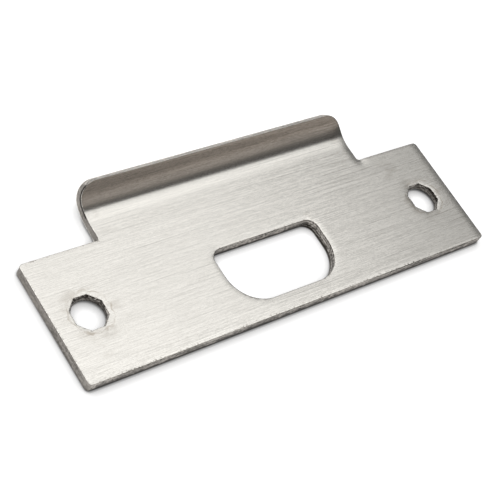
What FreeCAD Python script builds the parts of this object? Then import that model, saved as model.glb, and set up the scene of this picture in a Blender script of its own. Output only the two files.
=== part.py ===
import FreeCAD, Part

import math
import os

import Sketcher

# Door strike plate
# One pressed steel sheet: a flat plate with a latch opening and two countersunk
# screw holes, and a tongue on its rear edge that curls up into the lip.
# X runs along the plate, Y runs from the screw line toward the lip, and Z is up.
# The front face, which shows once the plate is fitted, lies at Z = 0 and faces down.
# The origin is midway between the screw holes.

doc = FreeCAD.newDocument("door_strike_plate")

# Driving dimensions, in millimetres and degrees
DIMENSIONS = {
    "plate_length": 123.825,
    "plate_width": 31.75,
    "sheet_thickness": 3.0,
    "plate_corner_radius": 1.0,
    "front_edge_radius": 0.5,
    "back_edge_radius": 0.15,
    "notch_radius": 0.8,
    "hole_end_distance": 9.525,
    "throat_diameter": 8.1,
    "countersink_diameter": 10.0,
    "countersink_angle": 82.0,
    "breakout_flats": 8.4,
    "breakout_depth": 0.5,
    "opening_length": 32.6,
    "opening_depth": 16.0,
    "opening_offset": 3.45,
    "opening_front_radius": 9.0,
    "opening_rear_radius": 3.0,
    "tongue_width": 81.2,
    "lip_reach": 30.16,
    "lip_bend_radius": 10.0,
    "lip_angle": 46.0,
    "lip_straight": 1.85,
    "lip_corner_radius": 4.8,
    "lip_edge_radius": 1.2,
}

BREAKOUT_SIDES = 8
TOLERANCE = 0.001
EDGE_SAMPLES = 5
START_INDEX = 1
END_INDEX = 2
CENTRE_INDEX = 3
ORIGIN_INDEX = -1
X_AXIS_INDEX = -1


def make_sheet():
    table = doc.addObject("Spreadsheet::Sheet", "Dimensions")
    for row, (alias, number) in enumerate(DIMENSIONS.items(), start=1):
        table.set(f"A{row}", alias)
        table.set(f"B{row}", str(number))
        table.setAlias(f"B{row}", alias)
    doc.recompute()
    return table


sheet = make_sheet()
body = doc.addObject("PartDesign::Body", "StrikePlate")
body.Label = "strike_plate"


def size(alias):
    return float(getattr(sheet, alias))


def bind(target, path, formula):
    target.setExpression(path, formula)


def vector(x, y, z=0.0):
    return FreeCAD.Vector(x, y, z)


def hole_reach():
    # Distance from the middle of the plate to each screw hole
    return size("plate_length") / 2 - size("hole_end_distance")


HOLE_REACH = "Dimensions.plate_length / 2 - Dimensions.hole_end_distance"


# Sketching helpers

def origin_plane(role):
    for feature in body.Origin.OriginFeatures:
        if feature.Role == role:
            return feature
    raise ValueError(f"no origin plane {role}")


def make_sketch(name, role):
    sketch = body.newObject("Sketcher::SketchObject", name)
    sketch.AttachmentSupport = [(origin_plane(role), "")]
    sketch.MapMode = "FlatFace"
    return sketch


def dimension(sketch, name, formula, *constraint):
    index = sketch.addConstraint(Sketcher.Constraint(*constraint))
    sketch.renameConstraint(index, name)
    bind(sketch, f"Constraints.{name}", formula)


def constrain(sketch, *constraint):
    sketch.addConstraint(Sketcher.Constraint(*constraint))


def arc(sketch, centre, radius, start_degrees, end_degrees):
    circle = Part.Circle(centre, vector(0, 0, 1), radius)
    start = math.radians(start_degrees)
    end = math.radians(end_degrees)
    return sketch.addGeometry(Part.ArcOfCircle(circle, start, end))


def line(sketch, start, end):
    return sketch.addGeometry(Part.LineSegment(start, end))


def rounded_rectangle(sketch, length, front, rear, front_radius, rear_radius, formulas):
    # The outline runs anticlockwise from the front side, with an arc at each corner.
    half = length / 2
    front_side = line(sketch, vector(-half + front_radius, front), vector(half - front_radius, front))
    front_right = arc(sketch, vector(half - front_radius, front + front_radius), front_radius, 270, 360)
    right_side = line(sketch, vector(half, front + front_radius), vector(half, rear - rear_radius))
    rear_right = arc(sketch, vector(half - rear_radius, rear - rear_radius), rear_radius, 0, 90)
    rear_side = line(sketch, vector(half - rear_radius, rear), vector(-half + rear_radius, rear))
    rear_left = arc(sketch, vector(-half + rear_radius, rear - rear_radius), rear_radius, 90, 180)
    left_side = line(sketch, vector(-half, rear - rear_radius), vector(-half, front + front_radius))
    front_left = arc(sketch, vector(-half + front_radius, front + front_radius), front_radius, 180, 270)

    outline = [front_side, front_right, right_side, rear_right, rear_side, rear_left, left_side, front_left]
    for piece, following in zip(outline, outline[1:] + outline[:1]):
        constrain(sketch, "Tangent", piece, END_INDEX, following, START_INDEX)
    constrain(sketch, "Horizontal", front_side)
    constrain(sketch, "Horizontal", rear_side)
    constrain(sketch, "Vertical", left_side)
    constrain(sketch, "Vertical", right_side)
    constrain(sketch, "Equal", front_left, front_right)
    constrain(sketch, "Equal", rear_left, rear_right)

    dimension(sketch, "length", formulas["length"],
              "DistanceX", left_side, START_INDEX, right_side, START_INDEX, length)
    dimension(sketch, "half_length", formulas["length"] + " / 2",
              "DistanceX", ORIGIN_INDEX, START_INDEX, right_side, START_INDEX, half)
    dimension(sketch, "depth", formulas["depth"],
              "DistanceY", front_side, START_INDEX, rear_side, START_INDEX, rear - front)
    dimension(sketch, "front_offset", formulas["front_offset"],
              "DistanceY", front_side, START_INDEX, ORIGIN_INDEX, START_INDEX, -front)
    dimension(sketch, "front_radius", formulas["front_radius"], "Radius", front_left, front_radius)
    dimension(sketch, "rear_radius", formulas["rear_radius"], "Radius", rear_left, rear_radius)


# Flat plate

def pad_plate():
    sketch = make_sketch("PlateOutline", "XY_Plane")
    half_width = size("plate_width") / 2
    radius = size("plate_corner_radius")
    rounded_rectangle(sketch, size("plate_length"), -half_width, half_width, radius, radius, {
        "length": "Dimensions.plate_length",
        "depth": "Dimensions.plate_width",
        "front_offset": "Dimensions.plate_width / 2",
        "front_radius": "Dimensions.plate_corner_radius",
        "rear_radius": "Dimensions.plate_corner_radius",
    })
    pad = body.newObject("PartDesign::Pad", "Plate")
    pad.Profile = sketch
    bind(pad, "Length", "Dimensions.sheet_thickness")
    doc.recompute()


# Tongue and lip
# The section starts inside the plate, runs flat past the rear edge, bends up through
# the lip angle about one centre, and ends in a short straight. The reach is measured
# to the rounded outer edge, so the sharp corner of the section lies a little further out.

REACH_TO_CORNER = (
    "Dimensions.lip_reach + Dimensions.lip_edge_radius"
    " * (cos(Dimensions.lip_angle * 1 deg) + sin(Dimensions.lip_angle * 1 deg) - 1)"
)


def lip_section():
    # Corner points of the section, with Y across and Z up as the sketch's own axes
    thickness = size("sheet_thickness")
    inner_radius = size("lip_bend_radius")
    outer_radius = inner_radius + thickness
    angle = math.radians(size("lip_angle"))
    straight = size("lip_straight")
    along = vector(math.cos(angle), math.sin(angle))
    outward = vector(math.sin(angle), -math.cos(angle))
    corner = size("lip_reach") + size("lip_edge_radius") * (math.cos(angle) + math.sin(angle) - 1)
    bend_start = corner - outer_radius * math.sin(angle) - straight * math.cos(angle)
    centre = vector(bend_start, outer_radius)
    return {
        "centre": centre,
        "outer_radius": outer_radius,
        "bend_start": bend_start,
        "along": along,
        "outward": outward,
        "outer_bend_end": centre + outward * outer_radius,
        "inner_bend_end": centre + outward * inner_radius,
        "outer_tip": centre + outward * outer_radius + along * straight,
        "inner_tip": centre + outward * inner_radius + along * straight,
    }


def pad_tongue():
    sketch = make_sketch("LipSection", "YZ_Plane")
    thickness = size("sheet_thickness")
    degrees = size("lip_angle")
    form = lip_section()
    bend_start = form["bend_start"]

    underside = line(sketch, vector(0, 0), vector(bend_start, 0))
    outer_bend = arc(sketch, form["centre"], form["outer_radius"], 270, 270 + degrees)
    outer_straight = line(sketch, form["outer_bend_end"], form["outer_tip"])
    end_face = line(sketch, form["outer_tip"], form["inner_tip"])
    inner_straight = line(sketch, form["inner_tip"], form["inner_bend_end"])
    inner_bend = arc(sketch, form["centre"], size("lip_bend_radius"), 270, 270 + degrees)
    upper_side = line(sketch, vector(bend_start, thickness), vector(0, thickness))
    root = line(sketch, vector(0, thickness), vector(0, 0))

    constrain(sketch, "Tangent", underside, END_INDEX, outer_bend, START_INDEX)
    constrain(sketch, "Tangent", outer_bend, END_INDEX, outer_straight, START_INDEX)
    constrain(sketch, "Coincident", outer_straight, END_INDEX, end_face, START_INDEX)
    constrain(sketch, "Coincident", end_face, END_INDEX, inner_straight, START_INDEX)
    constrain(sketch, "Tangent", inner_straight, END_INDEX, inner_bend, END_INDEX)
    constrain(sketch, "Tangent", inner_bend, START_INDEX, upper_side, START_INDEX)
    constrain(sketch, "Coincident", upper_side, END_INDEX, root, START_INDEX)
    constrain(sketch, "Coincident", root, END_INDEX, underside, START_INDEX)
    constrain(sketch, "Coincident", underside, START_INDEX, ORIGIN_INDEX, START_INDEX)
    constrain(sketch, "Horizontal", underside)
    constrain(sketch, "Horizontal", upper_side)
    constrain(sketch, "Vertical", root)
    constrain(sketch, "Perpendicular", outer_straight, end_face)
    constrain(sketch, "Parallel", outer_straight, inner_straight)
    constrain(sketch, "Coincident", outer_bend, CENTRE_INDEX, inner_bend, CENTRE_INDEX)

    dimension(sketch, "thickness", "Dimensions.sheet_thickness",
              "DistanceY", underside, START_INDEX, upper_side, END_INDEX, thickness)
    dimension(sketch, "bend_radius", "Dimensions.lip_bend_radius",
              "Radius", inner_bend, size("lip_bend_radius"))
    dimension(sketch, "angle", "Dimensions.lip_angle * 1 deg",
              "Angle", outer_straight, math.radians(degrees))
    dimension(sketch, "straight", "Dimensions.lip_straight",
              "Distance", outer_straight, size("lip_straight"))
    dimension(sketch, "reach", REACH_TO_CORNER,
              "DistanceX", ORIGIN_INDEX, START_INDEX, outer_straight, END_INDEX, form["outer_tip"].x)

    pad = body.newObject("PartDesign::Pad", "Tongue")
    pad.Profile = sketch
    pad.SideType = "Symmetric"
    bind(pad, "Length", "Dimensions.tongue_width")
    doc.recompute()


# Latch opening
# The rear corners are tight and the front corners are wide, as a latch bolt needs.

def cut_latch_opening():
    sketch = make_sketch("LatchOutline", "XY_Plane")
    half_depth = size("opening_depth") / 2
    offset = size("opening_offset")
    rounded_rectangle(sketch, size("opening_length"), -offset - half_depth, half_depth - offset,
                      size("opening_front_radius"), size("opening_rear_radius"), {
        "length": "Dimensions.opening_length",
        "depth": "Dimensions.opening_depth",
        "front_offset": "Dimensions.opening_offset + Dimensions.opening_depth / 2",
        "front_radius": "Dimensions.opening_front_radius",
        "rear_radius": "Dimensions.opening_rear_radius",
    })
    pocket = body.newObject("PartDesign::Pocket", "LatchOpening")
    pocket.Profile = sketch
    pocket.Type = "ThroughAll"
    pocket.Reversed = True
    doc.recompute()


# Screw holes
# A cone from the front face narrows to a round throat, for a flat-head screw.

def cut_screw_holes():
    sketch = make_sketch("ScrewHoleCentres", "XY_Plane")
    reach = hole_reach()
    radius = size("throat_diameter") / 2
    for side, name in ((-1, "left"), (1, "right")):
        circle = sketch.addGeometry(Part.Circle(vector(side * reach, 0), vector(0, 0, 1), radius))
        constrain(sketch, "PointOnObject", circle, CENTRE_INDEX, X_AXIS_INDEX)
        dimension(sketch, f"{name}_diameter", "Dimensions.throat_diameter", "Diameter", circle, 2 * radius)
        ends = [ORIGIN_INDEX, START_INDEX, circle, CENTRE_INDEX]
        if side < 0:
            ends = [circle, CENTRE_INDEX, ORIGIN_INDEX, START_INDEX]
        dimension(sketch, f"{name}_reach", HOLE_REACH, "DistanceX", *ends, reach)
    doc.recompute()

    hole = body.newObject("PartDesign::Hole", "ScrewHoles")
    hole.Profile = sketch
    hole.ThreadType = "None"
    hole.DepthType = "ThroughAll"
    hole.HoleCutType = "Countersink"
    hole.HoleCutCustomValues = True
    hole.Reversed = True
    bind(hole, "Diameter", "Dimensions.throat_diameter")
    bind(hole, "HoleCutDiameter", "Dimensions.countersink_diameter")
    bind(hole, "HoleCutCountersinkAngle", "Dimensions.countersink_angle")
    doc.recompute()


# Octagonal breakout
# The punch left each hole eight-sided where it came out through the back face.

def breakout_corner_radius():
    return size("breakout_flats") / 2 / math.cos(math.pi / BREAKOUT_SIDES)


def cut_breakouts():
    sketch = make_sketch("BreakoutOctagon", "XY_Plane")
    bind(sketch, ".AttachmentOffset.Base.z", "Dimensions.sheet_thickness")
    centre = vector(hole_reach(), 0)
    half_turn = math.pi / BREAKOUT_SIDES
    corner_radius = breakout_corner_radius()

    guide = sketch.addGeometry(Part.Circle(centre, vector(0, 0, 1), size("breakout_flats") / 2), True)
    constrain(sketch, "PointOnObject", guide, CENTRE_INDEX, X_AXIS_INDEX)
    dimension(sketch, "flats", "Dimensions.breakout_flats", "Diameter", guide, size("breakout_flats"))
    dimension(sketch, "reach", HOLE_REACH,
              "DistanceX", ORIGIN_INDEX, START_INDEX, guide, CENTRE_INDEX, centre.x)

    corners = []
    for step in range(BREAKOUT_SIDES):
        turn = (2 * step - 1) * half_turn
        corners.append(centre + vector(math.cos(turn), math.sin(turn)) * corner_radius)
    flats = []
    for start, end in zip(corners, corners[1:] + corners[:1]):
        flats.append(line(sketch, start, end))
    for flat, following in zip(flats, flats[1:] + flats[:1]):
        constrain(sketch, "Coincident", flat, END_INDEX, following, START_INDEX)
    for flat in flats:
        constrain(sketch, "Tangent", flat, guide)
    for flat in flats[1:]:
        if flat != flats[-1]:
            constrain(sketch, "Equal", flats[0], flat)
    constrain(sketch, "Vertical", flats[0])

    pocket = body.newObject("PartDesign::Pocket", "Breakout")
    pocket.Profile = sketch
    bind(pocket, "Length", "Dimensions.breakout_depth")
    doc.recompute()

    mirror = body.newObject("PartDesign::Mirrored", "BreakoutPair")
    mirror.Originals = [pocket]
    mirror.MirrorPlane = (origin_plane("YZ_Plane"), [""])
    body.Tip = mirror
    doc.recompute()


# Rounded corners and edges

def near(first, second):
    return abs(first - second) < TOLERANCE


def points_along(edge):
    step = (edge.LastParameter - edge.FirstParameter) / (EDGE_SAMPLES - 1)
    return [edge.valueAt(edge.FirstParameter + count * step) for count in range(EDGE_SAMPLES)]


def edge_names(wanted, unwanted):
    names = []
    for number, edge in enumerate(body.Shape.Edges, start=1):
        points = points_along(edge)
        if all(wanted(point) for point in points) and not all(unwanted(point) for point in points):
            names.append(f"Edge{number}")
    return names


def add_fillet(name, radius_alias, wanted, unwanted=lambda point: False):
    names = edge_names(wanted, unwanted)
    if not names:
        raise RuntimeError(f"{name} found no edges")
    base = body.Tip
    fillet = body.newObject("PartDesign::Fillet", name)
    fillet.Base = (base, names)
    bind(fillet, "Radius", f"Dimensions.{radius_alias}")
    body.Tip = fillet
    doc.recompute()


def depth_in_sheet(point):
    # Distance from the underside of the curled sheet, measured square to it
    form = lip_section()
    centre = form["centre"]
    if point.y <= form["bend_start"]:
        return point.z
    offset = vector(point.y, point.z) - centre
    if offset.dot(form["along"]) <= 0:
        return form["outer_radius"] - offset.Length
    return form["outer_radius"] - offset.dot(form["outward"])


def round_lip_corners():
    form = lip_section()
    half_width = size("tongue_width") / 2

    def on_tip_corner(point):
        offset = vector(point.y, point.z) - form["outer_tip"]
        return near(abs(point.x), half_width) and near(offset.dot(form["along"]), 0)

    add_fillet("LipCorners", "lip_corner_radius", on_tip_corner)


def round_lip_edges():
    rear = size("plate_width") / 2
    half_width = size("tongue_width") / 2
    round_start = half_width - size("lip_corner_radius")
    form = lip_section()

    def on_outer_edge(point):
        beyond_plate = point.y > rear - TOLERANCE
        at_side = near(abs(point.x), half_width)
        offset = vector(point.y, point.z) - form["outer_tip"]
        at_tip = near(offset.dot(form["along"]), 0)
        at_corner = abs(point.x) > round_start - TOLERANCE and point.y > form["outer_bend_end"].x
        return beyond_plate and near(depth_in_sheet(point), 0) and (at_side or at_tip or at_corner)

    add_fillet("LipOuterEdges", "lip_edge_radius", on_outer_edge)


def round_front_edges():
    half_length = size("plate_length") / 2
    half_width = size("plate_width") / 2
    corner = size("plate_corner_radius")

    def on_front_rim(point):
        at_end = abs(point.x) > half_length - corner - TOLERANCE
        at_side = near(abs(point.y), half_width)
        return near(point.z, 0) and (at_end or at_side)

    add_fillet("FrontEdges", "front_edge_radius", on_front_rim)


def round_notch_corners():
    rear = size("plate_width") / 2
    half_width = size("tongue_width") / 2

    def in_notch(point):
        return near(abs(point.x), half_width) and near(point.y, rear)

    add_fillet("NotchCorners", "notch_radius", in_notch)


def round_back_edges():
    form = lip_section()
    thickness = size("sheet_thickness")
    octagon_radius = breakout_corner_radius()

    def on_back(point):
        return near(depth_in_sheet(point), thickness)

    def on_seam_or_breakout(point):
        on_seam = near(point.y, form["bend_start"]) or near(point.y, form["inner_bend_end"].x)
        from_hole = math.hypot(abs(point.x) - hole_reach(), point.y)
        return on_seam or from_hole < octagon_radius + TOLERANCE

    add_fillet("BackEdges", "back_edge_radius", on_back, on_seam_or_breakout)


# Checks on the finished document

def volume_after(step):
    before = body.Shape.Volume if body.Tip else 0.0
    step()
    after = body.Shape.Volume
    print(f"{step.__name__}: {before:.1f} to {after:.1f} cubic mm")
    if near(before, after):
        raise RuntimeError(f"{step.__name__} changed nothing")


def check_document():
    for item in doc.Objects:
        if "Invalid" in item.State or "Error" in item.State:
            raise RuntimeError(f"{item.Name} failed: {item.State}")
        if hasattr(item, "solve") and item.solve() != 0:
            raise RuntimeError(f"{item.Name} has constraints that do not agree")
    if body.Shape.isNull() or not body.Shape.isValid():
        raise RuntimeError("the strike plate's shape is not valid")
    if len(body.Shape.Solids) != 1:
        raise RuntimeError("the strike plate is one sheet, so it must be one solid")


STEPS = (
    pad_plate,
    pad_tongue,
    cut_latch_opening,
    cut_screw_holes,
    cut_breakouts,
    round_lip_corners,
    round_lip_edges,
    round_front_edges,
    round_notch_corners,
    round_back_edges,
)

for step in STEPS:
    volume_after(step)

body.Placement = FreeCAD.Placement()
doc.recompute()
check_document()

os.makedirs("parts", exist_ok=True)
body.Shape.exportStep(f"parts/{body.Label}.step")
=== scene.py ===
# %% [markdown]
# # A door strike plate in brushed steel
# A strike plate is one piece of pressed sheet steel. It is let into a door frame, and its
# curled lip leads the latch bolt into the opening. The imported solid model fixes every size,
# so it is loaded first and kept as the frame that the visible plate has to fill.

import math
import random

import bmesh
import bpy
from mathutils import Matrix, Vector


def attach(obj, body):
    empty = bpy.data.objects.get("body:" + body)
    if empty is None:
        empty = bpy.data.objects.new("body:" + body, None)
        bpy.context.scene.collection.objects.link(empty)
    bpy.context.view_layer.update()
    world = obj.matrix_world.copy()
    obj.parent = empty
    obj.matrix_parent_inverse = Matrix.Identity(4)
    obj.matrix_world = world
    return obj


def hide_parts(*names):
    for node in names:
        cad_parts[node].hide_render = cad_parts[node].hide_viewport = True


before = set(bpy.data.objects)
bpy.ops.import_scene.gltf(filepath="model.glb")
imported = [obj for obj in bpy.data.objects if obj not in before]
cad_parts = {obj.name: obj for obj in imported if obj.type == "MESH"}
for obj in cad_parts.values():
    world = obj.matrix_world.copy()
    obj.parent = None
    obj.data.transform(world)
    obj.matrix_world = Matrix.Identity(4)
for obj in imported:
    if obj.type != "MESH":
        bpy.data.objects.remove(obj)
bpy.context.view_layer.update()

# %% [markdown]
# ## The camera
# The photograph looks down on the plate from the front left, and the camera is tipped to one
# side so that the plate lies across the frame. The lens is long, which keeps the far end of
# the plate nearly as wide as the near end.

# %% Place the camera
CAMERA_PLACE = Vector((-0.2088, -0.1063, 0.2506))
CAMERA_AZIMUTH = math.radians(61.97)
CAMERA_ELEVATION = math.radians(47.152)
CAMERA_ROLL = math.radians(35.211)
FOCAL_LENGTH = 103.54
NEAREST_VIEW = 0.01
LENS_SHIFT = (0.0006, 0.0008)


def look_direction(azimuth, elevation):
    flat = math.cos(elevation)
    return Vector((math.sin(azimuth) * flat, math.cos(azimuth) * flat, -math.sin(elevation)))


camera_data = bpy.data.cameras.new("photo_camera")
camera_data.lens = FOCAL_LENGTH
camera_data.clip_start = NEAREST_VIEW
camera_data.shift_x = LENS_SHIFT[0]
camera_data.shift_y = LENS_SHIFT[1]
camera = bpy.data.objects.new("photo_camera", camera_data)
bpy.context.scene.collection.objects.link(camera)
camera.rotation_mode = "QUATERNION"
aim = look_direction(CAMERA_AZIMUTH, CAMERA_ELEVATION).to_track_quat("-Z", "Y")
camera.rotation_quaternion = aim @ Matrix.Rotation(CAMERA_ROLL, 3, "Z").to_quaternion()
camera.location = CAMERA_PLACE
bpy.context.scene.camera = camera
print("camera height in mm:", round(1000 * camera.location.z))

# %% [markdown]
# ## The floor
# The plate lies on white paper. Lamps alone would leave the paper grey, so it gets a little
# light of its own that only the camera and reflections see. That light fades where the plate
# stands close over the paper, which keeps the soft shadow and the thin dark line of contact.
# An Ambient Occlusion node measures how much of the sky each spot of the paper sees. For the
# line of contact it leans to the left, where most light comes from, so that the line stays
# faint along the walls that face that side.

# %% Lay the floor
FLOOR_SIZE = 6.0
PAPER_LIFT = 0.72
PAPER_WHITE = 0.60
SHADOW_REACH = 0.003
CONTACT_REACH = 0.0007
CONTACT_POWER = 1.6
UPRIGHT = (0.0, 0.0, 1.0)
LEANING_LEFT = (-0.6, 0.0, 0.8)
SKY_SAMPLES = 16
PAPER_ROUGHNESS = 0.9


def add_node(tree, kind, **settings):
    node = tree.nodes.new(kind)
    for name, setting in settings.items():
        setattr(node, name, setting)
    return node


def calculate(tree, operation, first, second):
    # A maths node: each side is a socket or a plain number
    node = add_node(tree, "ShaderNodeMath", operation=operation)
    for socket, source in zip(node.inputs, (first, second)):
        if isinstance(source, (int, float)):
            socket.default_value = source
        else:
            tree.links.new(source, socket)
    return node.outputs[0]


bpy.ops.object.select_all(action="DESELECT")
bpy.ops.mesh.primitive_plane_add(size=FLOOR_SIZE, location=(0, 0, 0))
floor = bpy.context.object
floor.name = "floor"
paper = bpy.data.materials.new("white_paper")
paper.use_nodes = True
tree = paper.node_tree
shader = tree.nodes["Principled BSDF"]
shader.inputs["Roughness"].default_value = PAPER_ROUGHNESS
shader.inputs["Specular IOR Level"].default_value = 0.0
shader.inputs["Emission Color"].default_value = (1, 1, 1, 1)
ray = add_node(tree, "ShaderNodeLightPath")
seen = calculate(tree, "MAXIMUM", ray.outputs["Is Camera Ray"], ray.outputs["Is Glossy Ray"])
seen = calculate(tree, "MAXIMUM", seen, ray.outputs["Is Transmission Ray"])


def sky_share(reach, lean):
    # One in the open, falling toward nothing within a short reach of the plate
    facing = add_node(tree, "ShaderNodeCombineXYZ")
    for socket, share in zip(facing.inputs, lean):
        socket.default_value = share
    sky = add_node(tree, "ShaderNodeAmbientOcclusion", samples=SKY_SAMPLES)
    sky.inputs["Distance"].default_value = reach
    tree.links.new(facing.outputs[0], sky.inputs["Normal"])
    return sky.outputs["AO"]


contact = calculate(tree, "POWER", sky_share(CONTACT_REACH, LEANING_LEFT), CONTACT_POWER)
faded = calculate(tree, "MULTIPLY", contact, sky_share(SHADOW_REACH, UPRIGHT))
lift = calculate(tree, "MULTIPLY", calculate(tree, "MULTIPLY", seen, faded), PAPER_LIFT)
# Painted shade: the paper's own colour is darkened along the line of contact as well
tree.links.new(calculate(tree, "MULTIPLY", contact, PAPER_WHITE), shader.inputs["Base Color"])
tree.links.new(lift, shader.inputs["Emission Strength"])
floor.data.materials.append(paper)

# %% [markdown]
# ## The light
# Satin steel shows the room. A wide softbox hangs above and behind the plate, and the flat
# back mirrors it. Its front edge ends where the bend starts to look toward the dark of the
# room, which draws the thin dark line along the foot of the lip. Cards in front of the plate
# stand past that dark gap, and give the lip its warm grey. Each card is placed by the angles
# that it covers round the lip's long axis, because the curl mirrors those angles one after
# another, and a small twist slants its edges the way they slant in the photograph.

# %% Hang the lamps
LIP_PLACE = Vector((0, 0.025, 0.0045))
WHITE = (1.0, 1.0, 1.0)
WARM = (1.0, 0.89, 0.81)
WARMER = (1.0, 0.85, 0.74)
SOFTBOXES = (
    # Name, place, what it faces, width, height and brightness
    ("top_near", (0.10, 0.4875, 0.95), (0.10, 0.4875, 0), 1.2, 1.285, 1.145),
    ("top_mid", (0.86, 0.4875, 0.95), (0.86, 0.4875, 0), 0.32, 1.285, 1.06),
    ("rear_left", (-0.75, 0.75, 0.95), (0, 0, 0), 1.0, 1.0, 2.2),
    ("front_left", (-0.8, -0.6, 0.95), (0, 0, 0), 1.0, 1.0, 1.8),
)
LIP_CARDS = (
    # Name, middle along the lip, width, first and last angle, distance, brightness, colour, twist
    ("bright_strip", 0.75, 1.0, -10, 2.9, 0.93, 0.23, WHITE, -30),
    ("warm_card_upper", 0.77, 1.2, 29.7, 47, 1.1, 0.33, WARM, -33),
    ("warm_card_middle", 0.77, 1.2, 47, 57, 1.1, 0.188, WARMER, -25),
    ("warm_card_lower", 0.77, 1.3, 56, 76, 1.1, 0.143, WARMER, -12),
)
ROOM_TINT = (1.0, 0.97, 0.93, 1.0)
ROOM_STRENGTH = 0.065


def softbox(name, place, target, width, height, brightness, colour=WHITE):
    data = bpy.data.lights.new(name, "AREA")
    data.shape = "RECTANGLE"
    data.size = width
    data.size_y = height
    data.energy = brightness * math.pi * width * height
    data.color = colour
    lamp = bpy.data.objects.new(name, data)
    bpy.context.scene.collection.objects.link(lamp)
    lamp.location = place
    lamp.rotation_mode = "QUATERNION"
    lamp.rotation_quaternion = (Vector(target) - Vector(place)).to_track_quat("-Z", "Y")
    return lamp


def lip_card(name, middle, width, start, end, distance, brightness, colour, twist):
    # A card round the lip's long axis, from one angle off the vertical to another
    tilt = math.radians((start + end) / 2)
    half_angle = math.radians((end - start) / 2)
    place = LIP_PLACE + distance * Vector((0, -math.sin(tilt), math.cos(tilt)))
    place.x = middle
    height = 2 * distance * math.tan(half_angle)
    lamp = softbox(name, place, LIP_PLACE, width, height, brightness, colour)
    turn = Matrix.Rotation(tilt, 3, "X") @ Matrix.Rotation(math.radians(twist), 3, "Z")
    lamp.rotation_quaternion = turn.to_quaternion()


for row in SOFTBOXES:
    softbox(*row)
for row in LIP_CARDS:
    lip_card(*row)
world = bpy.data.worlds.new("studio")
bpy.context.scene.world = world
world.use_nodes = True
world.node_tree.nodes["Background"].inputs["Color"].default_value = ROOM_TINT
world.node_tree.nodes["Background"].inputs["Strength"].default_value = ROOM_STRENGTH
bpy.context.scene.view_settings.view_transform = "Standard"

# %% [markdown]
# ## The sheet
# The real plate is cut from flat sheet and then bent, so the model is made in the same
# order. Everything is drawn in millimetres in the flat state, because a punch, a worn rim
# and a brushed line are simple there, and the bend then carries them round the lip.

# %% Sizes of the sheet
PLATE_LENGTH = 123.825
PLATE_WIDTH = 31.75
THICKNESS = 3.0
HOLE_MARGIN = 9.525
PLATE_CORNER = 1.0
NOTCH_RADIUS = 0.8
TONGUE_WIDTH = 81.2
BEND_START = 20.02
BEND_RADIUS = 10.0
BEND_ANGLE = math.radians(46)
LIP_STRAIGHT = 1.85
LIP_CORNER = 4.8
BLANK_REACH = BEND_START + BEND_RADIUS * BEND_ANGLE + LIP_STRAIGHT
TONGUE_SIDE = TONGUE_WIDTH / 2
PLATE_END = PLATE_LENGTH / 2
PLATE_REAR = PLATE_WIDTH / 2
HOLE_REACH = PLATE_END - HOLE_MARGIN
print("flat blank in mm:", PLATE_LENGTH, "by", round(PLATE_REAR + BLANK_REACH, 2))

# %% [markdown]
# ## Picking by place
# An operator acts on all that is selected. With no window to click in, each step picks its
# vertices, edges or faces by their place, and then runs the same operator as by hand.

# %% Helpers that pick what an operator acts on
# Three sizes of tolerance, in millimetres
HAIR = 0.001
SLACK = 0.01
MARGIN = 0.1


def start_fresh():
    if bpy.context.object and bpy.context.object.mode != "OBJECT":
        bpy.ops.object.mode_set(mode="OBJECT")
    bpy.ops.object.select_all(action="DESELECT")


def take(piece):
    start_fresh()
    piece.select_set(True)
    bpy.context.view_layer.objects.active = piece


def edit(piece, element="VERT"):
    take(piece)
    bpy.ops.object.mode_set(mode="EDIT")
    bpy.ops.mesh.select_mode(type=element)


def pick(piece, element, wanted):
    mesh = bmesh.from_edit_mesh(piece.data)
    bpy.ops.mesh.select_mode(type=element)
    bpy.ops.mesh.select_all(action="DESELECT")
    items = {"VERT": mesh.verts, "EDGE": mesh.edges, "FACE": mesh.faces}[element]
    count = 0
    for item in items:
        if not item.hide and wanted(item):
            item.select_set(True)
            count += 1
    mesh.select_flush_mode()
    bmesh.update_edit_mesh(piece.data)
    return count


def apply_modifier(piece, kind, **settings):
    take(piece)
    modifier = piece.modifiers.new(kind.title(), kind)
    for name, setting in settings.items():
        setattr(modifier, name, setting)
    bpy.ops.object.modifier_apply(modifier=modifier.name)


def near(first, second, gap=0.02):
    return abs(first - second) < gap

# %% [markdown]
# ## The flat blank
# The blank is a rectangle with a wide tongue on its rear side. Its outline could be typed in
# point by point, but a plane that is cut and extruded follows the sizes by itself. It is cut
# across at the tongue's sides, and the middle edge is extruded to the tongue's length. The
# inner lines are then dissolved, so that the outline is one clean face.

# %% Cut the flat blank
start_fresh()
bpy.ops.mesh.primitive_plane_add(size=1.0, location=(0, 0, 0))
plate = bpy.context.object
plate.name = "steel_plate"
edit(plate)
bpy.ops.mesh.select_all(action="SELECT")
bpy.ops.transform.resize(value=(PLATE_LENGTH, PLATE_WIDTH, 1))
for side in (-TONGUE_SIDE, TONGUE_SIDE):
    bpy.ops.mesh.select_all(action="SELECT")
    bpy.ops.mesh.bisect(plane_co=(side, 0, 0), plane_no=(1, 0, 0))


def on_tongue_root(edge):
    ends = [corner.co for corner in edge.verts]
    return all(near(end.y, PLATE_REAR) and abs(end.x) < TONGUE_SIDE + MARGIN for end in ends)


pick(plate, "EDGE", on_tongue_root)
bpy.ops.mesh.extrude_region_move(
    TRANSFORM_OT_translate={"value": (0, BLANK_REACH - PLATE_REAR, 0)})
bpy.ops.mesh.select_all(action="SELECT")
bpy.ops.mesh.dissolve_faces()
print("blank outline:", len(bmesh.from_edit_mesh(plate.data).verts), "corners")

# %% [markdown]
# ## The corners
# The four outer corners are barely rounded, the inner corners beside the tongue have a small
# fillet, and the two corners of the lip have a wide one. A vertex bevel rounds each kind now,
# while a corner is a single point. On the bent lip it would be an edge that isn't straight.

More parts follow.
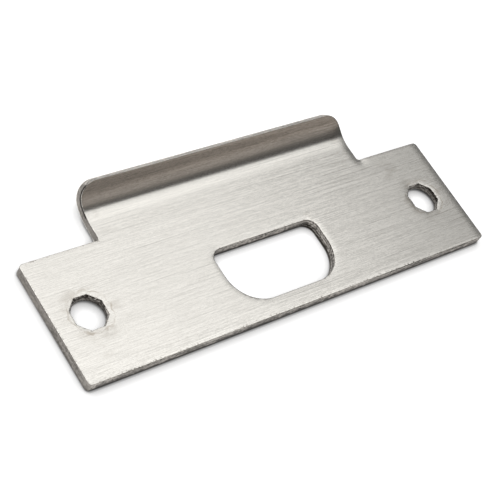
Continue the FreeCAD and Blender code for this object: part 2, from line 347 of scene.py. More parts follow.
# %% Round the blank's corners
ROUNDINGS = (
    # Title, place along and across, radius and segments
    ("plate rear", PLATE_END, PLATE_REAR, PLATE_CORNER, 6),
    ("plate front", PLATE_END, -PLATE_REAR, PLATE_CORNER, 6),
    ("tongue root", TONGUE_SIDE, PLATE_REAR, NOTCH_RADIUS, 5),
    ("lip", TONGUE_SIDE, BLANK_REACH, LIP_CORNER, 18),
)
for title, x, y, radius, segments in ROUNDINGS:
    count = pick(plate, "VERT", lambda corner: near(abs(corner.co.x), x) and near(corner.co.y, y))
    bpy.ops.mesh.bevel(offset=radius, segments=segments, affect="VERTICES")
    print("rounded", count, "corners:", title)

# %% [markdown]
# ## The thickness
# The sheet is three millimetres thick. A Solidify modifier could make it so, but one extrude
# upward is enough, and it leaves the front face exactly at the height of the table.

# %% Give the blank its thickness
bpy.ops.mesh.select_all(action="SELECT")
bpy.ops.mesh.extrude_region_move(TRANSFORM_OT_translate={"value": (0, 0, THICKNESS)})
bpy.ops.mesh.select_all(action="SELECT")
bpy.ops.mesh.normals_make_consistent(inside=False)
bpy.ops.object.mode_set(mode="OBJECT")
print("blank faces:", len(plate.data.polygons), [round(side, 3) for side in plate.dimensions])

# %% [markdown]
# ## The outer rims
# Tumbling the part wears its rims round, hardly on the back and more on the front face. A
# Bevel modifier rounds them all in one go, with a weight on each edge for how far its rounding
# reaches. It runs before the punches, while both faces are whole, because it would fold beside
# the edges that a punch leaves across a face.

# %% Round the outer rims
BACK_RIM = 0.12
FRONT_RIM = 0.5
RIM_SEGMENTS = 4
FULL_REACH = 1.0
LEAST_RIM_ANGLE = math.radians(30)


def is_rim(edge):
    # True for a sharp edge that runs along the front or the back face
    if not edge.is_manifold or edge.calc_face_angle() < LEAST_RIM_ANGLE:
        return False
    first, second = (corner.co.z for corner in edge.verts)
    return near(first, second, HAIR) and (near(first, 0) or near(first, THICKNESS))


def round_rims(piece, reach_at):
    # Rounds each rim edge as far as reach_at says for the edge's middle
    edit(piece, "EDGE")
    mesh = bmesh.from_edit_mesh(piece.data)
    layers = mesh.edges.layers.float
    weight = layers.get("bevel_weight_edge") or layers.new("bevel_weight_edge")
    for edge in mesh.edges:
        middle = (edge.verts[0].co + edge.verts[1].co) / 2
        edge[weight] = reach_at(middle) / FULL_REACH if is_rim(edge) else 0.0
    bmesh.update_edit_mesh(piece.data)
    bpy.ops.object.mode_set(mode="OBJECT")
    apply_modifier(piece, "BEVEL", width=FULL_REACH, segments=RIM_SEGMENTS,
                   limit_method="WEIGHT", use_clamp_overlap=False, loop_slide=True)
    print("faces with rounded rims:", len(piece.data.polygons))


round_rims(plate, lambda middle: BACK_RIM if near(middle.z, THICKNESS) else FRONT_RIM)

# %% [markdown]
# ## A wider and a finer rounding
# The outside of the lip is worn most, and the plate's front side least. A bevel folds over
# itself where its reach changes beside a round corner, so it was made even, and the sheet is
# now cut across in short steps where the rounding should change. Then each point of the
# rounding moves away from the sharp rim that it came from, or back toward it.

# %% Widen the rounding on the tongue and narrow it on the front side
WIDEST_ROUNDING = 1.2
FRONT_SIDE_RIM = 0.15
CHANGE_LENGTH = 2.0
CHANGE_STEPS = 4
FRONT_CHANGE = (PLATE_END - PLATE_CORNER, PLATE_END - PLATE_CORNER - CHANGE_LENGTH)
TONGUE_CHANGE = (PLATE_REAR + NOTCH_RADIUS, PLATE_REAR + NOTCH_RADIUS + CHANGE_LENGTH)


def steps_between(start, end):
    return [start + (end - start) * number / CHANGE_STEPS for number in range(CHANGE_STEPS + 1)]


def cut_across(axis, places):
    normal = Vector((0, 0, 0))
    normal[axis] = 1.0
    for place in places:
        bpy.ops.mesh.select_all(action="SELECT")
        bpy.ops.mesh.bisect(plane_co=normal * place, plane_no=normal, threshold=SLACK)


def changed_reach(final_reach, place, start, end):
    share = min(1.0, max(0.0, (place - start) / (end - start)))
    return FRONT_RIM + (final_reach - FRONT_RIM) * share


def sharp_rim(place):
    # The nearest point of the rim before its rounding, and how far the rounding should reach
    if place.y < TONGUE_CHANGE[0]:
        reach = changed_reach(FRONT_SIDE_RIM, abs(place.x), *FRONT_CHANGE)
        return Vector((place.x, -PLATE_REAR)), reach
    widest = TONGUE_SIDE - LIP_CORNER
    core = Vector((max(-widest, min(widest, place.x)), min(BLANK_REACH - LIP_CORNER, place.y)))
    outward = (place.xy - core).normalized()
    return core + LIP_CORNER * outward, changed_reach(WIDEST_ROUNDING, place.y, *TONGUE_CHANGE)


def reshape_rounding(piece):
    count = 0
    for corner in piece.data.vertices:
        rim, reach = sharp_rim(corner.co)
        inward = corner.co.xy - rim
        if max(corner.co.z, inward.length) < FRONT_RIM + SLACK:
            growth = reach / FRONT_RIM
            corner.co = (*(rim + inward * growth), corner.co.z * growth)
            count += 1
    piece.data.update()
    return count


edit(plate, "EDGE")
cut_across(0, [side * place for side in (-1, 1) for place in steps_between(*FRONT_CHANGE)])
cut_across(1, steps_between(*TONGUE_CHANGE))
bpy.ops.object.mode_set(mode="OBJECT")
print("points of the rounding:", reshape_rounding(plate))

# %% [markdown]
# ## The latch opening
# The latch bolt goes into this opening. Its front corners are swept in wide curves, and its
# rear corners are tight. The outline could have had this hole from the start, but the outer
# rims needed whole faces, so it is cut now, as in the workshop: a block is the punch, and a
# Boolean modifier is the press.

# %% Punch the latch opening
OPENING_LENGTH = 32.6
OPENING_DEPTH = 16.0
OPENING_OFFSET = 3.45
OPENING_CORNERS = (
    # In front or not, radius and segments
    (True, 9.0, 22),
    (False, 3.0, 10),
)


def punch(piece, cutter):
    apply_modifier(piece, "BOOLEAN", operation="DIFFERENCE", solver="EXACT", object=cutter)
    bpy.data.objects.remove(cutter)


def upright(edge):
    first, second = (corner.co for corner in edge.verts)
    return near(first.x, second.x) and near(first.y, second.y)


start_fresh()
bpy.ops.mesh.primitive_cube_add(size=1.0, location=(0, -OPENING_OFFSET, THICKNESS / 2))
latch_punch = bpy.context.object
latch_punch.scale = (OPENING_LENGTH, OPENING_DEPTH, 4 * THICKNESS)
bpy.ops.object.transform_apply(location=True, rotation=False, scale=True)
edit(latch_punch, "EDGE")
for in_front, radius, segments in OPENING_CORNERS:
    pick(latch_punch, "EDGE", lambda edge: upright(edge) and near(
        abs(edge.verts[0].co.x), OPENING_LENGTH / 2) and (
        edge.verts[0].co.y < -OPENING_OFFSET) == in_front)
    bpy.ops.mesh.bevel(offset=radius, segments=segments, affect="EDGES")
bpy.ops.object.mode_set(mode="OBJECT")
punch(plate, latch_punch)
print("faces with the opening:", len(plate.data.polygons))

# %% [markdown]
# ## The screw holes
# Each hole is a cone for the screw's head, then a round throat, and the steel broke out
# eight-sided and a little ragged on the far side. One closed punch holds all of it: a circle
# is extruded ring by ring, and each ring's points go out to their own reach. The steel broke
# out a little further on the left, so the punch's upper rings are moved over to that side.

# %% Punch the screw holes
THROAT_RADIUS = 4.05
SINK_RADIUS = 5.0
SINK_SLOPE = math.tan(math.radians(41))
SINK_DEPTH = (SINK_RADIUS - THROAT_RADIUS) / SINK_SLOPE
BREAKOUT_FLAT = 4.2
ROUND_STEPS = 48
EIGHTH = math.pi / 4
PUNCH_START = 1.0
THROAT_HEIGHT = 0.4
BREAKOUT_RINGS = (
    # Height, share of the worn eight sides and flare
    (2.2, 0.6, 0.0),
    (2.85, 1.0, 0.0),
    (4.0, 1.0, 0.2),
)
WEAR_RANGE = (-0.10, 0.14)
BREAKOUT_DRIFT = -0.25
DRIFT_ABOVE = 2.0


def octagon_reach(angle):
    # Distance from the hole's axis to the eight-sided outline in one direction
    off_flat = (angle + EIGHTH / 2) % EIGHTH - EIGHTH / 2
    return BREAKOUT_FLAT / math.cos(off_flat)


def ring_move(piece, height, reach_at):
    # The selected ring rises to a height, and each of its points goes out to its own reach
    bpy.ops.mesh.extrude_region_move(TRANSFORM_OT_translate={"value": (0, 0, 0)})
    mesh = bmesh.from_edit_mesh(piece.data)
    for corner in [corner for corner in mesh.verts if corner.select]:
        angle = math.atan2(corner.co.y, corner.co.x)
        reach = reach_at(angle)
        corner.co = (reach * math.cos(angle), reach * math.sin(angle), height)
    bmesh.update_edit_mesh(piece.data)


def make_hole_punch(seed):
    start_fresh()
    first_radius = SINK_RADIUS + PUNCH_START * SINK_SLOPE
    bpy.ops.mesh.primitive_circle_add(vertices=ROUND_STEPS, radius=first_radius,
                                      fill_type="NGON", location=(0, 0, -PUNCH_START))
    tool = bpy.context.object
    bpy.ops.object.transform_apply()
    edit(tool, "FACE")
    bpy.ops.mesh.select_all(action="SELECT")
    dice = random.Random(seed)
    worn = [dice.uniform(*WEAR_RANGE) for side in range(8)]

    def ragged(angle, share):
        # The reach in one direction, as a blend from the round throat to the worn eight sides
        turn = (angle / EIGHTH) % 8
        first = int(turn)
        blend = turn - first
        wear = worn[first] * (1 - blend) + worn[(first + 1) % 8] * blend
        return THROAT_RADIUS * (1 - share) + (octagon_reach(angle) + wear) * share

    ring_move(tool, SINK_DEPTH, lambda angle: THROAT_RADIUS)
    ring_move(tool, SINK_DEPTH + THROAT_HEIGHT, lambda angle: THROAT_RADIUS)
    for height, share, flare in BREAKOUT_RINGS:
        ring_move(tool, height, lambda angle: ragged(angle, share) + flare)
    pick(tool, "VERT", lambda corner: corner.co.z > DRIFT_ABOVE)
    bpy.ops.transform.translate(value=(BREAKOUT_DRIFT, 0, 0))
    bpy.ops.mesh.select_all(action="SELECT")
    bpy.ops.mesh.normals_make_consistent(inside=False)
    bpy.ops.object.mode_set(mode="OBJECT")
    return tool


for side, seed in ((-1, 5), (1, 9)):
    tool = make_hole_punch(seed)
    tool.location.x = side * HOLE_REACH
    take(tool)
    bpy.ops.object.transform_apply()
    punch(plate, tool)
print("faces with the screw holes:", len(plate.data.polygons))

# %% [markdown]
# ## The punched rims
# The punched edges are worn too, but hardly. The same helper rounds them, with a test of
# where the holes are that tells them from the outline.

# %% Round the punched rims
HOLE_RIM = 0.08


def in_screw_hole(place, reach=6.5):
    return math.hypot(abs(place.x) - HOLE_REACH, place.y) < reach


def in_opening(place, margin=0.7):
    half = OPENING_LENGTH / 2 + margin
    inside = abs(place.y + OPENING_OFFSET) < OPENING_DEPTH / 2 + margin
    return abs(place.x) < half and inside


def punched_rim(middle):
    if in_screw_hole(middle):
        return HOLE_RIM if near(middle.z, THICKNESS) else BACK_RIM
    return BACK_RIM if in_opening(middle) else 0.0


round_rims(plate, punched_rim)

# %% [markdown]
# ## Rows and columns
# The bend and the soft dents need faces to follow them. The bisect tool cuts the whole sheet
# into rows and columns, close together where the lip bends and wide apart elsewhere.

# %% Cut the sheet into rows and columns
ROW_HEIGHTS = (0.85, 1.2, 1.55, 1.9, 2.25, 2.6)
ROW_STEP = 1.0
COLUMN_STEP = 0.5
BEND_STEP = 0.34
STRAIGHT_ROW = 0.7
BEND_END = BEND_START + BEND_RADIUS * BEND_ANGLE


def spread(start, end, step):
    count = max(1, round((end - start) / step))
    return [start + (end - start) * number / count for number in range(1, count)]


edit(plate, "FACE")
cut_across(2, ROW_HEIGHTS)
cut_across(1, spread(-PLATE_REAR, BEND_START, ROW_STEP))
cut_across(1, [BEND_START, *spread(BEND_START, BEND_END, BEND_STEP), BEND_END])
cut_across(1, [BEND_END + STRAIGHT_ROW])
cut_across(0, spread(-PLATE_END, PLATE_END, COLUMN_STEP))
bpy.ops.object.mode_set(mode="OBJECT")
print("faces with rows and columns:", len(plate.data.polygons))

# %% [markdown]
# ## What the punch left on each wall
# A punch shears the upper part of a wall and tears the rest, so the walls are dull and have a
# darker band below. That band is partly the real torn steel and partly painted shade, for the
# shadow low on a wall and down in a screw hole. Each vertex keeps notes for the material:
# whether it is on a wall, how deep in the sheet it lies, how bright the wall is, how high the
# tear and its painted shade reach there, and how uneven it left the steel. The walls in the
# screw holes are torn and shaded most, and the tongue's sides least. Along the top of the lip's
# sides the wall is painted black, as painted shade for the dark line at the lip's edge. In the
# screw holes the unevenness is so strong that its bright specks are painted highlights for
# glints. A painted picture could say the same, but it would need unwrapping, and the notes go
# through the bend by themselves.

# %% Note the walls for the material
WALL_NOTES = {
    # How bright the wall is, how high its tear and painted shade reach and how uneven it is
    # The screw holes' strong unevenness also makes bright specks: painted highlights for glints
    "screw hole": (0.36, 2.3, 2.4),
    "opening end": (0.26, 0.8, 1.6),
    "opening": (0.29, 1.1, 1.5),
    "tongue side": (0.32, -1.0, 0.4),
    "lip end": (0.60, -1.0, 0.5),
    "left end": (0.34, -1.0, 0.45),
    "outline": (0.36, 1.1, 1.0),
}
OPENING_END_LENGTH = 4.0
LIP_END_DEPTH = 1.3
LEFT_END_DEPTH = 0.6
# Tone and depth of the painted shade along the top of the lip's sides
LIP_RIM_SHADE = 0.0
LIP_RIM_SHADE_DEPTH = 0.45
RIM_SHARE = 0.36
BENT_FROM = BEND_START + 2.0
POLISHED_BELOW = 0.9
BARELY_STEEP = 0.12
STEEP = 0.6
ROUNDING_SHARE = 0.7
SMUDGE_RADIUS = 5.6
SMUDGE_REACH = 2.4
SPOT_STRENGTH = 1.5
HANDLED_SPOTS = (
    # Place along and across, and reach
    (-38.8, 22.6, 1.6),
    (-37.4, 19.2, 1.3),
    (-54.0, -9.0, 1.6),
    (37.5, 24.5, 2.0),
    (47.0, 10.0, 2.6),
    (15.5, 5.5, 1.2),
)


def wall_kind(place):
    if in_screw_hole(place):
        return "screw hole"
    if in_opening(place):
        on_end = place.x > OPENING_LENGTH / 2 - OPENING_END_LENGTH
        return "opening end" if on_end else "opening"
    if place.y > BLANK_REACH - LIP_END_DEPTH and abs(place.x) < TONGUE_SIDE - LIP_CORNER / 2:
        return "lip end"
    if place.y > PLATE_REAR + NOTCH_RADIUS:
        return "tongue side"
    return "left end" if place.x < -PLATE_END + LEFT_END_DEPTH else "outline"


def borders_wall(corner):
    # True for a vertex of the back face that an edge joins to a rounded rim
    lowest = THICKNESS - BACK_RIM - HAIR
    ends = [edge.other_vert(corner).co.z for edge in corner.link_edges]
    on_back = near(corner.co.z, THICKNESS, HAIR)
    return on_back and any(lowest < height < THICKNESS - HAIR for height in ends)


def wall_note(corner):
    # The wall's share and tone, the height of its tear and how uneven it is at one vertex
    place, normal = corner.co, corner.normal
    kind = wall_kind(place)
    tone, tear, unevenness = WALL_NOTES[kind]
    steepness = 1 - abs(normal.z)
    on_lower_rounding = HAIR < place.z < FRONT_RIM + MARGIN
    wall = 0.0
    if borders_wall(corner) and kind != "lip end":
        wall = RIM_SHARE
    elif steepness > BARELY_STEEP:
        wall = ROUNDING_SHARE
    if steepness > STEEP or on_lower_rounding:
        wall = 1.0
    # Painted shade: the top of the lip's side walls is painted black for the dark line along its
    # edge
    if kind == "tongue side" and place.y > BENT_FROM and place.z > THICKNESS - LIP_RIM_SHADE_DEPTH:
        tone = LIP_RIM_SHADE
    if kind in ("tongue side", "lip end") and place.z < POLISHED_BELOW:
        wall = 0.0
    return wall, tone, tear, unevenness


def smudge_share(place):
    # One on a ring round each screw hole and in each handled spot, and nothing away from them
    from_axis = math.hypot(abs(place.x) - HOLE_REACH, place.y)
    shares = [1 - abs(from_axis - SMUDGE_RADIUS) / SMUDGE_REACH]
    for x, y, reach in HANDLED_SPOTS:
        shares.append(SPOT_STRENGTH - math.hypot(place.x - x, place.y - y) / reach)
    return min(1.0, max(0.0, *shares))


NOTE_NAMES = ("sheet_depth", "cut_wall", "wall_tone", "tear_and_shade_height", "unevenness", "smudge")
mesh = bmesh.new()
mesh.from_mesh(plate.data)
layers = {name: mesh.verts.layers.float.new(name) for name in NOTE_NAMES}
for corner in mesh.verts:
    notes = (corner.co.z, *wall_note(corner), smudge_share(corner.co))
    for name, value in zip(NOTE_NAMES, notes):
        corner[layers[name]] = value
print("wall vertices:", sum(corner[layers["cut_wall"]] > 0.5 for corner in mesh.verts))
mesh.to_mesh(plate.data)
mesh.free()

# %% [markdown]
# ## Rolled rims and dents
# The die drags the steel down beside a cut, so the back face rolls off softly toward the
# outline, the screw holes and the opening. It could be sculpted, but a press by numbers comes
# out the same each time: proportional editing pulls a rim down and lets the steel around it
# follow, as a soft brush would. The front face is hidden from it meanwhile.

# %% Press soft rolls with proportional editing
FACE_LOWEST = 2.7
# How far from the outline or the opening a rim's vertices may lie, or from a hole's axis
OPENING_BAND = 0.05
END_BAND = 0.16
SIDE_BAND = 0.15
HOLE_BAND = 4.85


def press(title, wanted, depth, reach):
    # Pulls the wanted vertices down, and the steel around them as far as the reach
    edit(plate, "VERT")
    bpy.ops.mesh.reveal()
    pick(plate, "VERT", lambda corner: corner.co.z < FACE_LOWEST)
    bpy.ops.mesh.hide(unselected=False)
    count = pick(plate, "VERT", lambda corner: wanted(corner.co))
    bpy.ops.transform.translate(value=(0, 0, -depth), use_proportional_edit=True,
                                proportional_edit_falloff="SHARP", proportional_size=reach)
    bpy.ops.mesh.reveal()
    bpy.ops.object.mode_set(mode="OBJECT")
    print("pressed", count, "vertices:", title)


def on_rim(place):
    return place.z < THICKNESS - SLACK


def on_hole_rim(place):
    return in_screw_hole(place, HOLE_BAND) and on_rim(place)


def on_opening_rim(place):
    return in_opening(place, OPENING_BAND) and on_rim(place)


def on_end_rim(place, side):
    return side * place.x > PLATE_END - END_BAND and on_rim(place)


def on_tongue_side(place, side):
    beside = side * place.x > TONGUE_SIDE - SIDE_BAND
    return beside and place.y > PLATE_REAR and on_rim(place)


def on_front_rim(place):
    return place.y < -PLATE_REAR + MARGIN and on_rim(place)


PRESSES = (
    # Title, which vertices, how deep and how far it reaches
    ("screw hole rims", on_hole_rim, 0.05, 2.0),
    ("opening rim", on_opening_rim, 0.08, 1.5),
    ("right end", lambda place: on_end_rim(place, 1), 0.11, 2.6),
    ("left end", lambda place: on_end_rim(place, -1), 0.04, 1.2),
    ("front side", on_front_rim, 0.04, 1.2),
    ("tongue's right side", lambda place: on_tongue_side(place, 1), 0.16, 2.6),
)
for row in PRESSES:
    press(*row)

# %% [markdown]
# ## The curled lip
# The lip is the tongue's end, curled up on one centre. It could be spun as a strip of its
# own, but then its rims and corners would have to be made on a curve. A Simple Deform
# modifier bends the flat tongue as the press does, so all that was made so far follows.

# %% Bend the lip
start_fresh()
bpy.ops.object.empty_add(location=(0, BEND_START, THICKNESS))
bend_centre = bpy.context.object
bend_centre.matrix_world = Matrix((
    (-1, 0, 0, 0),
    (0, 0, 1, BEND_START),
    (0, 1, 0, THICKNESS),
    (0, 0, 0, 1),
))
bpy.context.view_layer.update()
low_y = min(corner.co.y for corner in plate.data.vertices)
high_y = max(corner.co.y for corner in plate.data.vertices)
bend_limits = [(place - low_y) / (high_y - low_y) for place in (BEND_START, BEND_END)]
apply_modifier(plate, "SIMPLE_DEFORM", deform_method="BEND", deform_axis="X", angle=BEND_ANGLE,
               origin=bend_centre, limits=bend_limits)
bpy.data.objects.remove(bend_centre)
print("bent plate in mm:", [round(side, 3) for side in plate.dimensions])

# %% [markdown]
# ## From millimetres to metres
# The frame is in metres, so the finished mesh is made a thousand times smaller, and the
# object itself keeps a scale of one.

# %% Scale to metres
MILLIMETRE = 0.001
for corner in plate.data.vertices:
    corner.co *= MILLIMETRE
plate.data.update()
print("plate box in metres:", [round(side, 6) for side in plate.dimensions])

# %% [markdown]
# ## Brushed steel
# Brushing leaves fine lines of all lengths along the plate. A picture of them would blur
# close up, so noise makes them, pulled out along one axis: long lines, lines a few
# millimetres long, short scratches, broad faint bands and a fine grit. Each kind has a share
# in one pattern, which tints the steel and later roughens it and tilts the light a little.

# %% Weave the brushed pattern
BRUSHING = (
    # Grains per metre along each axis, detail, roughness, seed, and the share in the pattern
    ((40, 5600, 5600), 1.0, 0.5, 3.1, 0.23),
    ((150, 5200, 5200), 2.0, 0.6, 17.3, 0.26),
    ((700, 5600, 5600), 2.0, 0.6, 11.9, 0.28),
    ((35, 1200, 1200), 2.0, 0.6, 7.7, 0.05),
    ((2600, 3400, 3400), 1.0, 0.5, 41.3, 0.18),
)
PATTERN_MIDDLE = 0.5
SEED_STEPS = (1.0, 0.7, 0.3)
steel = bpy.data.materials.new("satin_steel")
steel.use_nodes = True
steel_tree = steel.node_tree
place = add_node(steel_tree, "ShaderNodeTexCoord")


def grain(stretch, detail, roughness, seed):
    # Noise with so many grains per metre along each axis
    mapping = add_node(steel_tree, "ShaderNodeMapping")
    mapping.inputs["Scale"].default_value = stretch
    mapping.inputs["Location"].default_value = [seed * step for step in SEED_STEPS]
    steel_tree.links.new(place.outputs["Object"], mapping.inputs["Vector"])
    noise = add_node(steel_tree, "ShaderNodeTexNoise")
    noise.inputs["Scale"].default_value = 1.0
    noise.inputs["Detail"].default_value = detail
    noise.inputs["Roughness"].default_value = roughness
    steel_tree.links.new(mapping.outputs["Vector"], noise.inputs["Vector"])
    return noise.outputs["Fac"]


def remap(source, low, high, to_low, to_high):
    node = add_node(steel_tree, "ShaderNodeMapRange")
    limits = {"From Min": low, "From Max": high, "To Min": to_low, "To Max": to_high}
    for name, number in limits.items():
        node.inputs[name].default_value = number
    steel_tree.links.new(source, node.inputs["Value"])
    return node.outputs["Result"]


def mix(factor, first, second):
    # A blend of two colours, each a socket or three numbers. In a Mix node, the sockets for
    # colours are inputs 6 and 7 and output 2.
    node = add_node(steel_tree, "ShaderNodeMix", data_type="RGBA")
    steel_tree.links.new(factor, node.inputs["Factor"])
    for socket, colour in zip((node.inputs[6], node.inputs[7]), (first, second)):
        if isinstance(colour, tuple):
            socket.default_value = (*colour, 1)
        else:
            steel_tree.links.new(colour, socket)
    return node.outputs[2]


def times(first, second):
    return calculate(steel_tree, "MULTIPLY", first, second)


def plus(first, second):
    return calculate(steel_tree, "ADD", first, second)


def minus(first, second):
    return calculate(steel_tree, "SUBTRACT", first, second)


brushed = 0.0
for stretch, detail, coarseness, seed, share in BRUSHING:
    brushed = plus(brushed, times(grain(stretch, detail, coarseness, seed), share))
print("kinds of brushed line:", len(BRUSHING))

# %% [markdown]
# ## Where the lines show
# The lines stand out more toward the right, where the softbox ends, and along the front side.
# The press drew the steel smooth in the bend, so they are faint there. Just before the bend the
# face is painted a little darker, as painted shade. On the lip they show most, because the lip
# mirrors a dark room.

# %% Tint the brushed face
MIDDLE_TO_RIGHT = (-0.005, 0.06)
FRONT_STRIP = (-0.0155, -0.0105)
SHADE_BAND_START = (0.0145, 0.0170)
DRAWN_START = (0.0190, 0.0205)
LIP_RISE = (0.0035, 0.006)
CONTRAST_LEFT = 3.5
CONTRAST_RIGHT = 13.5
CONTRAST_FRONT = 3.0
CONTRAST_LIP = 10.0
CONTRAST_DRAWN = 0.3
BAND_SHADE = 0.12
MEAN_TONE = 0.62
DULL_STEEL = (0.62, 0.603, 0.564)
BRIGHT_STEEL = (0.785, 0.765, 0.72)
split_place = add_node(steel_tree, "ShaderNodeSeparateXYZ")
steel_tree.links.new(place.outputs["Object"], split_place.inputs[0])
x_place, y_place, z_place = split_place.outputs
contrast = remap(x_place, *MIDDLE_TO_RIGHT, CONTRAST_LEFT, CONTRAST_RIGHT)
contrast = plus(contrast, remap(y_place, *FRONT_STRIP, CONTRAST_FRONT, 0.0))
drawn_smooth = remap(y_place, *DRAWN_START, 0.0, 1.0)
contrast = times(contrast, remap(drawn_smooth, 0.0, 1.0, 1.0, CONTRAST_DRAWN))
contrast = plus(contrast, remap(z_place, *LIP_RISE, 0.0, CONTRAST_LIP))
tone = plus(times(minus(brushed, PATTERN_MIDDLE), contrast), MEAN_TONE)
# Painted shade: a slightly darker band on the face just before the bend
painted_bend_shade = minus(drawn_smooth, remap(y_place, *SHADE_BAND_START, 0.0, 1.0))
tone = plus(tone, times(painted_bend_shade, BAND_SHADE))
face_colour = mix(remap(tone, 0.0, 1.0, 0.0, 1.0), DULL_STEEL, BRIGHT_STEEL)

# %% [markdown]
# ## Deep scratches and smudges
# A few lines of the brushing went deeper and stay dark. Handling left brown smudges round the
# screw holes and in a few other spots. The notes in the mesh say where a smudge may be, and a
# coarse noise breaks it up.

# %% Add deep scratches and smudges
SCORE_GRAINS = (32, 4800, 4800)
SCORE_LIMITS = (0.25, 0.36)
SCORE_SPAN = (-0.06, 0.06)
SCORE_SHARES = (0.18, 0.62)
SCORED_STEEL = (0.22, 0.21, 0.19)
SMEAR_GRAINS = (240, 420, 420)
SMEAR_LIMITS = (0.45, 0.62)
SMEAR_SHARE = 0.34
SMEARED_STEEL = (0.30, 0.26, 0.21)


def note(name):
    return add_node(steel_tree, "ShaderNodeAttribute", attribute_name=name).outputs["Fac"]


scored = remap(grain(SCORE_GRAINS, 1.0, 0.5, 21.4), *SCORE_LIMITS, 1.0, 0.0)
scored = times(scored, remap(x_place, *SCORE_SPAN, *SCORE_SHARES))
face_colour = mix(scored, face_colour, SCORED_STEEL)
smear = remap(grain(SMEAR_GRAINS, 3.0, 0.6, 33.3), *SMEAR_LIMITS, 0.0, 1.0)
face_colour = mix(times(times(smear, note("smudge")), SMEAR_SHARE), face_colour, SMEARED_STEEL)

# %% [markdown]
# ## The ring round each screw hole
# A thin brown line runs round each screw hole, where something round once pressed on the
# steel. It is drawn by the distance from the hole's axis. One noise lets that distance wander,
# so that the ring isn't a true circle, and another breaks the ring up.

# %% Draw the rings
RING_RADIUS = 5.3 * MILLIMETRE
RING_EDGES = (0.08 * MILLIMETRE, 0.30 * MILLIMETRE)
RING_WANDER = 0.45 * MILLIMETRE
WANDER_GRAINS = (450, 450, 450)
WANDER_LIMITS = (0.3, 0.7)
BREAK_GRAINS = (300, 300, 300)
BREAK_LIMITS = (0.42, 0.58)
RING_SHARES = (0.1, 0.5)
RING_STEEL = (0.34, 0.29, 0.23)


def size_of(source):
    return calculate(steel_tree, "ABSOLUTE", source, 0)


sideways = minus(size_of(x_place), HOLE_REACH * MILLIMETRE)
squares = plus(times(sideways, sideways), times(y_place, y_place))
from_axis = calculate(steel_tree, "POWER", squares, 0.5)
wander = grain(WANDER_GRAINS, 1.0, 0.5, 44.1)
from_axis = plus(from_axis, remap(wander, *WANDER_LIMITS, -RING_WANDER, RING_WANDER))
off_ring = size_of(minus(from_axis, RING_RADIUS))
ring_share = remap(grain(BREAK_GRAINS, 2.0, 0.6, 51.2), *BREAK_LIMITS, *RING_SHARES)
ring = times(remap(off_ring, *RING_EDGES, 1.0, 0.0), ring_share)
face_colour = mix(ring, face_colour, RING_STEEL)

# %% [markdown]
# ## Sheared and torn walls
# The cut walls are bare and dull. The notes in the mesh say where they are and how high the
# tear reaches, and a slow noise makes the border between sheared and torn steel wander. The
# dark torn tone is partly real torn steel and partly painted shade low on the walls and in the
# holes. A speckle and upright drag marks make a wall as uneven as its note says, and larger
# patches are gouged more than the rest. In the screw holes that unevenness also makes bright
# specks, painted highlights for glints.

# %% Colour the walls
SPECKLE_GRAINS = (1900, 1900, 1900)
DRAG_GRAINS = (90, 90, 2400)
SPECKLE_SHARE = 0.55
TEAR_GRAINS = (260, 260, 260)
TEAR_LIMITS = (0.3, 0.7)
TEAR_WANDER = 0.6
TEAR_EDGE = 0.2
TORN_AND_SHADED_TONE = 0.22
PATCH_GRAINS = (170, 170, 170)
PATCH_LIMITS = (0.40, 0.55)
PATCH_SHARES = (0.6, 1.1)
UNEVEN_LIMITS = (0.43, 0.57)
UNEVEN_RANGE = (-1.0, 1.1)
DARK_WALL = (0.032, 0.027, 0.022)
BRIGHT_WALL = (0.67, 0.63, 0.58)
BORDER_LIMITS = (0.38, 0.62)
BORDER_WANDER = 0.34
WALL_LIMITS = (0.42, 0.62)
speckle = grain(SPECKLE_GRAINS, 3.0, 0.7, 5.2)
drag = grain(DRAG_GRAINS, 2.0, 0.6, 8.4)
wall_noise = plus(times(speckle, SPECKLE_SHARE), times(drag, 1 - SPECKLE_SHARE))
above_tear_and_shade = minus(note("sheet_depth"), note("tear_and_shade_height"))
tear_wander = remap(grain(TEAR_GRAINS, 3.0, 0.6, 15.8), *TEAR_LIMITS, -TEAR_WANDER, TEAR_WANDER)
# Below the tear the wall is darkened: real torn steel and painted shade together
sheared = remap(plus(above_tear_and_shade, tear_wander), -TEAR_EDGE, TEAR_EDGE, TORN_AND_SHADED_TONE, 1.0)
gouged = remap(grain(PATCH_GRAINS, 2.0, 0.6, 27.1), *PATCH_LIMITS, *PATCH_SHARES)
uneven = times(remap(wall_noise, *UNEVEN_LIMITS, *UNEVEN_RANGE), note("unevenness"))
wall_tone = times(times(note("wall_tone"), sheared), plus(times(uneven, gouged), 1.0))
wall_colour = mix(wall_tone, DARK_WALL, BRIGHT_WALL)
border = remap(speckle, *BORDER_LIMITS, -BORDER_WANDER, BORDER_WANDER)
wall = remap(plus(note("cut_wall"), border), *WALL_LIMITS, 0.0, 1.0)
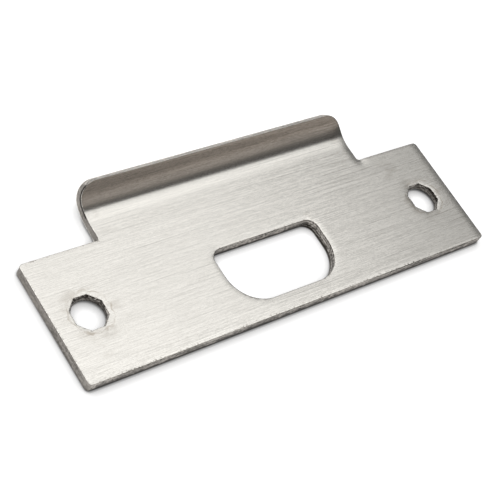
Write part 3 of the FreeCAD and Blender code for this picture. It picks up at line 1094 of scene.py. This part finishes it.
steel_shader = steel_tree.nodes["Principled BSDF"]
steel_tree.links.new(mix(wall, face_colour, wall_colour), steel_shader.inputs["Base Color"])

# %% [markdown]
# ## Satin gloss
# Brushed steel spreads a reflection along its lines, which the shader's anisotropy does with
# a tangent along the plate. The walls are rougher than the brushed faces.

# %% Set the gloss
PATTERN_LIMITS = (0.40, 0.60)
FACE_ROUGHNESS = (0.26, 0.20)
WALL_ROUGHNESS = 0.24
LINE_STRENGTH = 0.3
LINE_DEPTH = 0.02 * MILLIMETRE
SPREAD = 0.7
roughness = remap(brushed, *PATTERN_LIMITS, *FACE_ROUGHNESS)
roughness = plus(roughness, times(wall, WALL_ROUGHNESS))
steel_tree.links.new(roughness, steel_shader.inputs["Roughness"])
bump = add_node(steel_tree, "ShaderNodeBump")
bump.inputs["Strength"].default_value = LINE_STRENGTH
bump.inputs["Distance"].default_value = LINE_DEPTH
steel_tree.links.new(brushed, bump.inputs["Height"])
steel_tree.links.new(bump.outputs["Normal"], steel_shader.inputs["Normal"])
steel_shader.inputs["Metallic"].default_value = 1.0
steel_shader.inputs["Anisotropic"].default_value = SPREAD
along = add_node(steel_tree, "ShaderNodeVectorTransform", vector_type="VECTOR",
                 convert_from="OBJECT", convert_to="WORLD")
along.inputs[0].default_value = (1, 0, 0)
steel_tree.links.new(along.outputs[0], steel_shader.inputs["Tangent"])
plate.data.materials.append(steel)
print("nodes in the steel:", len(steel_tree.nodes))

# %% [markdown]
# ## Smooth shading
# The curl and the rims are smooth, and the edge of a wall stays crisp. Shading smooth up to
# an angle keeps both.

# %% Shade the plate smooth
SMOOTH_UP_TO = math.radians(32)
take(plate)
bpy.ops.object.shade_smooth_by_angle(angle=SMOOTH_UP_TO)
print("finished plate:", len(plate.data.polygons), "faces,", len(plate.data.vertices), "vertices")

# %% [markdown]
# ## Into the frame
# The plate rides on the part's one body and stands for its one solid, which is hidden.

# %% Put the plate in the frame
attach(plate, "root")
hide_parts("strike_plate")
